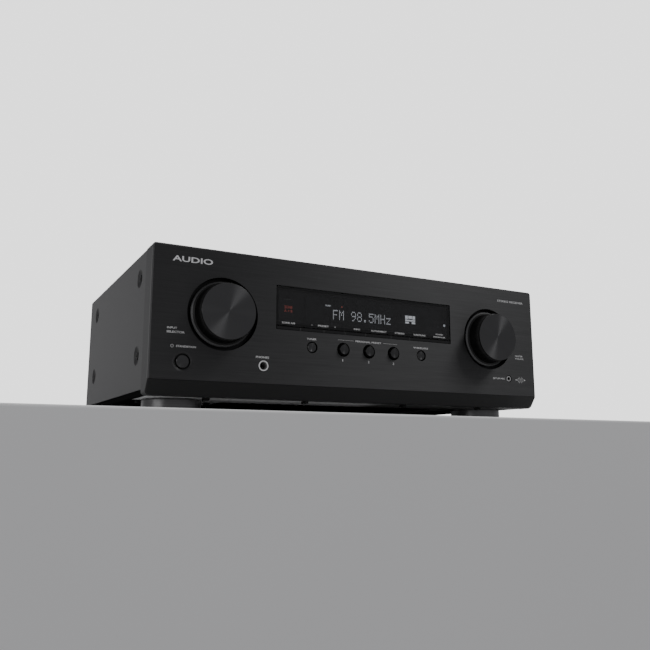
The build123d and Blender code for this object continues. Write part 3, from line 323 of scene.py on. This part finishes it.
# grey 0.2 lightens the jack's deep bore as painted light
paint(grained("jack_plastic", grey(0.2), 0.4), "phones_jack")
bright_ring = grained("bright_ring", (0.8, 0.8, 0.81), 0.4, depth=0.005 * MM, spread=0.03)
paint(bright_ring, "phones_jack_ring")

# ---------------------------------------------------------------- case and feet
STRIP_BACK = FACE_Y + 75 * MM  # back edge of the strip of painted reflection, just ahead of the raised pan in the chassis floor
STRIP_HALF_WIDTH = 211 * MM
PATCH_INNER = 126 * MM  # the patches of painted reflection start just outside the pan
PATCH_OUTER = 150 * MM
PATCH_FADE = 30 * MM
REFLECTION_FALLOFF = (10 * MM, 40 * MM)  # from the first x to the second the painted reflection fades towards the painted shade


def zinc_steel():
    """Chassis sheet painted black as shade, with a painted reflection of pale zinc in a strip ahead of the
    raised pan and in patches beside it.
    """
    zinc = Recipe("zinc_steel", {"Specular IOR Level": 0.0})
    spangle = zinc.cells(150.0)
    across = zinc.math("ABSOLUTE", zinc.axis("X"))
    ahead = zinc.remap(zinc.axis("Y"), STRIP_BACK, STRIP_BACK + 2 * MM, 1.0, 0.0)
    inboard = zinc.remap(across, STRIP_HALF_WIDTH, STRIP_HALF_WIDTH + 2 * MM, 1.0, 0.0)
    front_strip = zinc.math("MULTIPLY", ahead, inboard)
    outside_pan = zinc.remap(across, PATCH_INNER, PATCH_INNER + 1 * MM)
    near_pan = zinc.remap(across, PATCH_OUTER, PATCH_OUTER + 5 * MM, 1.0, 0.0)
    front_half = zinc.remap(zinc.axis("Y"), 0.0, PATCH_FADE, 1.0, 0.0)
    patches = zinc.math("MULTIPLY", zinc.math("MINIMUM", outside_pan, near_pan), front_half)
    reflection_falloff = zinc.remap(zinc.axis("X"), *REFLECTION_FALLOFF, 1.0, 0.2)
    painted_reflection_mask = zinc.math("MULTIPLY", zinc.math("MAXIMUM", front_strip, patches), reflection_falloff)
    spangled_painted_reflection = zinc.math("MULTIPLY", painted_reflection_mask, zinc.remap(zinc.axis("X", spangle), 0.0, 1.0, 0.9, 1.0))
    # pale where the reflection is painted, near black elsewhere as painted shade
    zinc.set("Base Color", zinc.colours(spangled_painted_reflection, grey(0.01), grey(0.95)))
    zinc.set("Roughness", zinc.remap(zinc.axis("Y", spangle), 0.0, 1.0, 0.34, 0.42))
    zinc.bump(zinc.noise(900.0, 3.0), 0.15, 0.03 * MM)
    return zinc


def foot_plastic():
    """Metallised plastic with rings moulded round it."""
    foot = Recipe("foot_plastic", {**METAL, "Roughness": 0.3})
    rings = foot.noise((4.0, 4.0, 1400.0), 3.0)
    foot.set("Base Color", foot.colours(rings, (0.10, 0.10, 0.101), (0.17, 0.17, 0.172)))
    foot.bump(rings, 0.3, 0.04 * MM)
    return foot


paint(grained("cover_paint", (0.022, 0.022, 0.0225), 0.44, 2400.0, 0.06 * MM), "top_cover")
paint(grained("rear_paint", (0.028, 0.028, 0.029), 0.5, 2400.0, 0.06 * MM), "rear_panel")
screw_black = grained("screw_black", grey(0.012), 0.5, depth=0.02 * MM, **{"Specular IOR Level": 0.15})
paint(screw_black, "chassis_screws")
paint(zinc_steel(), "bottom_chassis")
paint(foot_plastic(), "feet")
paint(grained("pad_rubber", grey(0.025), 0.85, 700.0, 0.1 * MM), "foot_pads")

# ---------------------------------------------------------------- inside the case
SLEEVE_END = 76.5 * MM  # height at which the capacitors' sleeves end


def core_iron():
    """Stacked iron leaves."""
    core = Recipe("core_iron", {"Metallic": 0.7, "Roughness": 0.5})
    leaves = core.waves("Z", 12000.0)
    core.set("Base Color", core.colours(leaves, (0.10, 0.10, 0.11), (0.19, 0.19, 0.20)))
    core.bump(leaves, 0.4, 0.08 * MM)
    return core


def winding_tape():
    """Turns of yellow tape."""
    tape = Recipe("winding_tape", {"Roughness": 0.32})
    wraps = tape.waves("Z", 1400.0)
    tape.set("Base Color", tape.colours(wraps, (0.45, 0.26, 0.04), (0.58, 0.38, 0.08)))
    tape.bump(wraps, 0.3, 0.1 * MM)
    return tape


def capacitor_sleeve():
    """Dark sleeve with the can's bare end above it."""
    sleeve = Recipe("capacitor_sleeve", {"Roughness": 0.25})
    above = sleeve.remap(sleeve.axis("Z"), SLEEVE_END, SLEEVE_END + 0.3 * MM)
    sleeve.set("Base Color", sleeve.colours(above, (0.015, 0.018, 0.035), grey(0.55)))
    sleeve.set("Metallic", above)
    sleeve.bump(sleeve.noise(300.0), 0.1, 0.05 * MM)
    return sleeve


paint(core_iron(), "transformer_core")
paint(winding_tape(), "transformer_winding")
paint(capacitor_sleeve(), "smoothing_capacitors")
paint(grained("heatsink_aluminium", (0.55, 0.56, 0.57), 0.4, 1200.0, spread=0.08, **METAL), "heatsink")
paint(grained("transistor_resin", grey(0.03), 0.5), "power_transistors")
paint(grained("tuner_can", (0.6, 0.6, 0.58), 0.3, 500.0, spread=0.06, **METAL), "tuner_module")

# ---------------------------------------------------------------- rear sockets
COLLAR_PROUD = 1.25 * MM  # how far the jacks' plastic collars stand out of the rear panel
PIN_RADIUS = 1.25 * MM
PIN_OFFSET = 4.3 * MM


def socket_metal():
    """Plated shells standing out of black collars."""
    plated = Recipe("socket_metal", {"Roughness": 0.25})
    collar = BACK_Y + COLLAR_PROUD
    shell = plated.remap(plated.axis("Y"), collar, collar + 0.05 * MM)
    plated.set("Base Color", plated.colours(shell, grey(0.02), (0.70, 0.70, 0.68)))
    plated.set("Metallic", shell)
    plated.bump(plated.noise(1500.0), 0.1, 0.02 * MM)
    return plated


def inlet_plastic():
    """Black moulding with two brass pins."""
    inlet = Recipe("inlet_plastic", {"Roughness": 0.4})
    middle_x, middle_z = middle("ac_inlet")
    across = inlet.math("SUBTRACT", inlet.axis("X"), middle_x)
    off_x = inlet.math("SUBTRACT", inlet.math("ABSOLUTE", across), PIN_OFFSET)
    off_z = inlet.math("SUBTRACT", inlet.axis("Z"), middle_z)
    on_pin = inlet.remap(inlet.length(off_x, off_z), PIN_RADIUS, PIN_RADIUS + 0.05 * MM, 1.0, 0.0)
    inlet.set("Base Color", inlet.colours(on_pin, grey(0.018), (0.65, 0.6, 0.5)))
    inlet.set("Metallic", on_pin)
    inlet.bump(inlet.noise(1600.0, 3.0), 0.4, 0.03 * MM)
    return inlet


paint(socket_metal(), "audio_jacks")
paint(grained("socket_shell", (0.62, 0.62, 0.60), 0.24, depth=0.01 * MM, **METAL), "video_sockets")
paint(inlet_plastic(), "ac_inlet")
paint(grained("socket_plastic", grey(0.018), 0.4), "speaker_terminal_base")
paint(grained("stud_brass", (0.72, 0.56, 0.28), 0.25, depth=0.01 * MM, **METAL), "terminal_studs")
cap_red = grained("cap_red", (0.42, 0.015, 0.015), 0.28, depth=0.01 * MM)
cap_black = grained("cap_black", grey(0.018), 0.28, depth=0.01 * MM)
paint(cap_red, *[name for name in nodes if name.endswith("positive_cap")])
paint(cap_black, *[name for name in nodes if name.endswith("negative_cap")])


# ---------------------------------------------------------------- printing and small flat pieces
class Printing:
    """Flat shapes on an upright wall, gathered in one mesh, in millimetres.

    Places are x and z of the frame. On a wall that faces back, words read from its own side.
    """

    def __init__(self, name, wall_y, faces_front=True, lift=0.04):
        self.name = name
        self.sign = 1.0 if faces_front else -1.0
        self.near = wall_y - self.sign * lift * MM
        self.far = wall_y + self.sign * 0.02 * MM
        self.points = []
        self.faces = []

    def place(self, x, z, outer):
        y = self.near if outer else self.far
        self.points.append((x * MM, y, z * MM))

    def prism(self, outline):
        """A closed plate on a convex outline of (x, z), counter-clockwise as seen from the front."""
        first = len(self.points)
        count = len(outline)
        for outer in (True, False):
            for x, z in outline:
                self.place(x, z, outer)
        front = list(range(first, first + count))
        back = list(range(first + count, first + 2 * count))
        faces = [front, back[::-1]]
        for i in range(count):
            j = (i + 1) % count
            faces.append([front[j], front[i], back[i], back[j]])
        if self.sign < 0:
            faces = [face[::-1] for face in faces]
        self.faces += faces

    def bar(self, x0, x1, z0, z1):
        self.prism([(x0, z0), (x1, z0), (x1, z1), (x0, z1)])

    def band(self, x, z, inner, outer, start=0.0, end=360.0, steps=32):
        """Part of a ring, from one angle to another in degrees."""
        for i in range(steps):
            a = math.radians(start + (end - start) * i / steps)
            b = math.radians(start + (end - start) * (i + 1) / steps)
            corners = [(inner, a), (outer, a), (outer, b), (inner, b)]
            self.prism([(x + r * math.cos(t), z + r * math.sin(t)) for r, t in corners])

    def rule(self, left, right, z, width):
        self.bar(left, right, z - width / 2, z + width / 2)

    def minus(self, x, z, size, width):
        self.rule(x - size / 2, x + size / 2, z, width)

    def plus(self, x, z, size, width):
        self.minus(x, z, size, width)
        self.bar(x - width / 2, x + width / 2, z - size / 2, z + size / 2)

    def spot(self, x, z, radius, steps):
        self.band(x, z, 0.0, radius, steps=steps)

    def text(self, words, x0, x1, z0, z1):
        """Words stretched to fill a box."""
        curve = bpy.data.curves.new("words", "FONT")
        curve.body = words
        curve.extrude = 0.5  # tells the outer face from the inner
        curve.offset = 0.02  # a little bolder than the plain letters
        curve.resolution_u = 3
        holder = bpy.data.objects.new("words", curve)
        bpy.context.scene.collection.objects.link(holder)
        graph = bpy.context.evaluated_depsgraph_get()
        mesh = bpy.data.meshes.new_from_object(holder.evaluated_get(graph))
        xs = [v.co.x for v in mesh.vertices]
        ys = [v.co.y for v in mesh.vertices]
        wide = (x1 - x0) / (max(xs) - min(xs))
        tall = (z1 - z0) / (max(ys) - min(ys))
        first = len(self.points)
        for v in mesh.vertices:
            x = (v.co.x - min(xs)) * wide
            x = x1 - x if self.sign < 0 else x0 + x
            self.place(x, z0 + (v.co.y - min(ys)) * tall, v.co.z > 0)
        self.faces += [[first + i for i in polygon.vertices] for polygon in mesh.polygons]
        bpy.data.objects.remove(holder)
        bpy.data.meshes.remove(mesh)
        bpy.data.curves.remove(curve)

    def lettering(self, rows):
        """Rows of words, left, right, bottom and top."""
        for row in rows:
            self.text(*row)

    def done(self, recipe):
        mesh = bpy.data.meshes.new(self.name)
        mesh.from_pydata(self.points, [], self.faces)
        mesh.update()
        mesh.materials.append(recipe.material)
        piece = bpy.data.objects.new(self.name, mesh)
        bpy.context.scene.collection.objects.link(piece)
        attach(piece, FIXED)


def ink(name, colour, roughness=0.5):
    recipe = Recipe(name, {"Roughness": roughness})
    recipe.set("Base Color", recipe.colours(recipe.noise(500.0), *shades(colour, 0.1)))
    return recipe


def glow(name, colour, strength):
    recipe = Recipe(name, {"Roughness": 0.4, "Emission Color": colour})
    recipe.set("Base Color", recipe.colours(recipe.noise(800.0), *shades(colour, 0.05)))
    recipe.set("Emission Strength", recipe.remap(recipe.noise(900.0), 0.3, 0.7, strength * 0.92, strength))
    return recipe


grey_ink = ink("grey_ink", grey(0.72))

# ---------------------------------------------------------------- printing on the fascia
PRESET_RULES = ((-35.3, -17.7), (16.3, 32.8))  # left and right ends of the lines beside a heading
STANDBY_X = -197.7
STANDBY_Z = 59.0
MARK_Z = 47.7
MARK_ENDS = ((189.6, -38.0), (202.0, 142.0))  # x of a spot, and the angle its waves start at
WAVE_REACHES = (2.3, 4.0, 5.7)
WAVE_WIDTH = 0.35
WAVE_ANGLE = 76.0

face = Printing("face_lettering", FACE_Y)
face.lettering([
    ("INPUT", -202.6, -193.8, 73.8, 75.5),
    ("SELECTOR", -202.9, -187.0, 70.2, 72.1),
    ("STANDBY/ON", -194.2, -176.6, 58.1, 59.9),
    ("PHONES", -120.3, -107.4, 53.2, 55.1),
    ("TUNER", -68.8, -58.7, 73.6, 75.4),
    ("PERSONAL PRESET", -15.8, 14.0, 75.1, 76.8),
    ("1", -30.6, -29.8, 55.2, 57.4),
    ("2", -1.6, -0.2, 55.2, 57.4),
    ("3", 27.4, 28.8, 55.2, 57.4),
    ("WIRELESS", 52.7, 71.1, 73.5, 75.2),
    ("MASTER", 189.5, 200.5, 73.3, 75.1),
    ("VOLUME", 189.5, 201.5, 70.4, 72.1),
    ("STEREO RECEIVER", 167.2, 204.6, 133.8, 136.1),
    ("SETUP MIC", 156.5, 173.3, 47.2, 49.0),
])
for left, right in PRESET_RULES:
    face.rule(left, right, 76.06, 0.2)
# the standby sign: a ring open at the top, and a stroke
face.band(STANDBY_X, STANDBY_Z, 1.1, 1.38, 115.0, 425.0)
face.bar(STANDBY_X - 0.13, STANDBY_X + 0.13, STANDBY_Z, STANDBY_Z + 1.7)
face.done(grey_ink)

emblem = Printing("face_emblem", FACE_Y, lift=0.12)
emblem.text("AUDIO", -200.0, -163.2, 134.0, 139.1)
emblem.done(ink("emblem_silver", (0.8, 0.8, 0.81), 0.3))

# waves between two spots
mark = Printing("face_mark", FACE_Y)
for x, start in MARK_ENDS:
    for reach in WAVE_REACHES:
        mark.band(x, MARK_Z, reach - WAVE_WIDTH, reach, start, start + WAVE_ANGLE, 12)
    mark.spot(x, MARK_Z, 0.8, 16)
mark.done(grey_ink)

key_print = Printing("key_lettering", LENS_Y)
key_print.lettering([
    ("ZONE A/B", -94.9, -81.0, 87.3, 89.0),
    ("PRESET", -56.8, -45.0, 87.3, 89.0),
    ("INFO", -17.2, -10.1, 87.2, 88.8),
    ("AUTO/DIRECT", 2.4, 20.8, 87.1, 88.8),
    ("STEREO", 30.8, 42.5, 87.1, 88.8),
    ("SURROUND", 53.7, 68.8, 87.1, 88.8),
    ("SOUND", 81.7, 91.2, 89.8, 91.2),
    ("ENHANCER", 78.9, 94.3, 87.0, 88.4),
])
key_print.minus(-63.3, 88.2, 1.6, 0.3)
key_print.plus(-38.3, 88.2, 1.6, 0.3)
key_print.done(grey_ink)

# ---------------------------------------------------------------- what the display shows
DOTS = {
    "F": "11111 10000 10000 11110 10000 10000 10000",
    "M": "10001 11011 10101 10101 10001 10001 10001",
    "9": "01110 10001 10001 01111 00001 00010 01100",
    "8": "01110 10001 10001 01110 10001 10001 01110",
    "5": "11111 10000 11110 00001 00001 10001 01110",
    ".": "00000 00000 00000 00000 00000 01100 01100",
    "H": "10001 10001 10001 11111 10001 10001 10001",
    "z": "00000 00000 11111 00010 00100 01000 11111",
}
DISPLAY_WORDS = "FM 98.5MHz"
DOT_WIDTH = 0.7
DOT_HEIGHT = 1.0
COLUMN_PITCH = 1.12
ROW_PITCH = 1.4
CHARACTER_PITCH = 6.83
FIRST_X = -37.8
TOP_ROW_Z = 105.2

cool_glow = glow("segment_glow", (0.92, 0.96, 1.0), 1.2)
warm_glow = glow("warm_glow", (0.8, 0.16, 0.12), 0.5)

display = Printing("display_characters", TUBE_Y)
for place, sign in enumerate(DISPLAY_WORDS):
    for row, line in enumerate(DOTS.get(sign, "").split()):
        for column, lit in enumerate(line):
            if lit == "1":
                x = FIRST_X + place * CHARACTER_PITCH + column * COLUMN_PITCH
                z = TOP_ROW_Z - row * ROW_PITCH
                display.bar(x, x + DOT_WIDTH, z, z + DOT_HEIGHT)
display.done(cool_glow)

symbols = Printing("display_symbols", TUBE_Y)
symbols.text("SLEEP", -46.2, -40.2, 109.1, 110.5)
# the speakers' sign: left, right, bottom and top of its blocks
speaker_blocks = [
    (47.0, 50.3, 104.7, 108.2),
    (50.9, 55.5, 105.2, 108.2),
    (56.1, 59.4, 104.7, 108.2),
    (47.0, 59.4, 102.5, 104.1),
    (47.0, 51.4, 99.9, 101.9),
    (55.0, 59.4, 99.9, 101.9),
]
for block in speaker_blocks:
    symbols.bar(*block)
symbols.done(cool_glow)

lamp = Printing("indicator_lamp", LENS_BACK_Y + 0.05 * MM, lift=0.03)
lamp.spot(94.4, 100.9, 1.35, 20)
lamp.done(glow("lamp_glow", (0.9, 0.95, 1.0), 0.8))

warm = Printing("display_warm_symbols", HOLDER_Y)
warm.text("ZONE", -89.2, -80.6, 103.4, 106.0)
warm.text("A + B", -89.2, -80.6, 99.8, 102.4)
warm.done(warm_glow)

tally = Printing("display_tally_dot", TUBE_Y)
tally.spot(-27.9, 109.9, 0.8, 12)
tally.done(warm_glow)

unlit = Printing("display_unlit_symbol", HOLDER_Y)
unlit.text("LINK", -88.8, -81.2, 111.4, 112.9)
unlit.done(ink("unlit_segment", grey(0.3)))

# ---------------------------------------------------------------- printing and rings at the rear
TERMINAL_SIGNS_X = (-124.5, 0.5)
PLUS_Z = 69.0
MINUS_Z = 45.0
HEADING_RULES = [
    (-119.0, -78.0, 89.5),
    (-46.0, -5.0, 89.5),
    (60.0, 79.0, 86.4),
    (107.0, 126.0, 86.4),
    (-66.0, -15.0, 130.4),
    (7.0, 58.0, 130.4),
]
JACK_RING = (4.25, 5.4)  # inner and outer radius
JACK_X = (66.0, 84.0, 102.0, 120.0)
JACK_ROWS = (("left_rings", 72.0, (0.75, 0.75, 0.74)), ("right_rings", 50.0, (0.5, 0.02, 0.02)))
RING_WALL = BACK_Y + 1.2 * MM

rear = Printing("rear_lettering", BACK_Y, faces_front=False)
rear.lettering([
    ("SPEAKERS", -74.0, -50.0, 88.0, 91.0),
    ("FRONT L", -26.5, -13.5, 25.0, 27.0),
    ("FRONT R", -47.5, -34.5, 25.0, 27.0),
    ("CENTER", -68.5, -55.5, 25.0, 27.0),
    ("SURR L", -89.5, -76.5, 25.0, 27.0),
    ("SURR R", -110.5, -97.5, 25.0, 27.0),
    ("AUDIO IN", 82.0, 104.0, 85.0, 87.8),
    ("1", 65.5, 66.5, 79.4, 81.6),
    ("2", 83.2, 84.8, 79.4, 81.6),
    ("3", 101.2, 102.8, 79.4, 81.6),
    ("4", 119.2, 120.8, 79.4, 81.6),
    ("L", 131.0, 132.4, 71.0, 73.2),
    ("R", 131.0, 132.6, 49.0, 51.2),
    ("VIDEO", -11.5, 3.5, 129.0, 131.8),
    ("OUT", -63.5, -56.5, 123.0, 125.0),
    ("IN 4", -35.0, -29.0, 123.0, 125.0),
    ("IN 3", -7.0, -1.0, 123.0, 125.0),
    ("IN 2", 21.0, 27.0, 123.0, 125.0),
    ("IN 1", 49.2, 54.8, 123.0, 125.0),
    ("ANTENNA", 154.0, 176.0, 123.0, 125.8),
    ("FM 75 OHM", 155.5, 174.5, 98.5, 100.7),
    ("AC IN", -192.5, -179.5, 65.0, 67.4),
])
for x in TERMINAL_SIGNS_X:
    rear.plus(x, PLUS_Z, 2.6, 0.4)
    rear.minus(x, MINUS_Z, 2.6, 0.4)
for left, right, z in HEADING_RULES:
    rear.rule(left, right, z, 0.24)
rear.done(grey_ink)

for name, z, colour in JACK_ROWS:
    ring = Printing(name, RING_WALL, faces_front=False, lift=0.35)
    for x in JACK_X:
        ring.band(x, z, *JACK_RING)
    ring.done(ink(f"{name}_plastic", colour, 0.3))

# ---------------------------------------------------------------- the stage, the lights and the camera
PLINTH_LOW = Vector((-1.6, -0.251, -1.2))
PLINTH_HIGH = Vector((1.6, 1.4, 0.0))


def plinth():
    """Pale block that the receiver stands on, with eased edges."""
    xs, ys, zs = zip(PLINTH_LOW, PLINTH_HIGH)
    corners = [(x, y, z) for x in xs for y in ys for z in zs]
    sides = [(0, 1, 3, 2), (4, 6, 7, 5), (0, 4, 5, 1), (2, 3, 7, 6), (0, 2, 6, 4), (1, 5, 7, 3)]
    mesh = bpy.data.meshes.new("plinth")
    mesh.from_pydata(corners, [], sides)
    piece = bpy.data.objects.new("plinth", mesh)
    bpy.context.scene.collection.objects.link(piece)
    ease = piece.modifiers.new("ease", "BEVEL")
    ease.width = 2 * MM
    ease.segments = 3
    recipe = Recipe("plinth_paint", {"Roughness": 0.6})
    recipe.set("Base Color", recipe.colours(recipe.noise(3.0), grey(0.80), grey(0.84)))
    mesh.materials.append(recipe.material)


def softbox(name, place, aim, size, watts):
    light = bpy.data.lights.new(name, "AREA")
    light.shape = "RECTANGLE"
    light.size, light.size_y = size
    light.energy = watts
    holder = bpy.data.objects.new(name, light)
    bpy.context.scene.collection.objects.link(holder)
    holder.location = place
    holder.rotation_euler = (Vector(aim) - Vector(place)).to_track_quat("-Z", "Y").to_euler()
    holder.visible_camera = False


def studio_air():
    """Grey surroundings that light the receiver, and a white backdrop that only the camera sees."""
    world = bpy.data.worlds.new("studio")
    bpy.context.scene.world = world
    world.use_nodes = True
    air = world.node_tree
    surround = air.nodes["Background"]
    surround.inputs["Color"].default_value = (0.30, 0.30, 0.31, 1.0)
    surround.inputs["Strength"].default_value = 1.0
    backdrop = air.nodes.new("ShaderNodeBackground")
    backdrop.inputs["Color"].default_value = (1.0, 1.0, 1.0, 1.0)
    backdrop.inputs["Strength"].default_value = 2.0
    path = air.nodes.new("ShaderNodeLightPath")
    choose = air.nodes.new("ShaderNodeMixShader")
    air.links.new(path.outputs["Is Camera Ray"], choose.inputs[0])
    air.links.new(surround.outputs[0], choose.inputs[1])
    air.links.new(backdrop.outputs[0], choose.inputs[2])
    air.links.new(choose.outputs[0], air.nodes["World Output"].inputs["Surface"])


def camera():
    """In front of the left side and a little below it, looking up and right."""
    lens = bpy.data.cameras.new("camera")
    lens.lens = 39.31
    lens.sensor_width = 36.0
    holder = bpy.data.objects.new("camera", lens)
    bpy.context.scene.collection.objects.link(holder)
    holder.location = (-0.36447, -0.73623, -0.02981)
    holder.rotation_euler = (math.radians(100.08), 0.0, math.radians(-28.04))
    bpy.context.scene.camera = holder


plinth()
softbox("key_light", (3.2, -2.0, 3.9), (0.0, -0.1, 0.1), (1.6, 1.6), 82.0)
softbox("side_light", (-0.95, 2.05, 0.5), (-0.2, 0.0, 0.08), (1.0, 0.8), 0.72)
softbox("strip_light", (-2.1, -0.85, 0.5), (-0.21, -0.14, 0.08), (1.4, 0.9), 6.0)
softbox("top_light", (0.0, 0.6, 2.0), (0.0, 0.0, 0.1), (1.6, 1.2), 14.0)
studio_air()
camera()
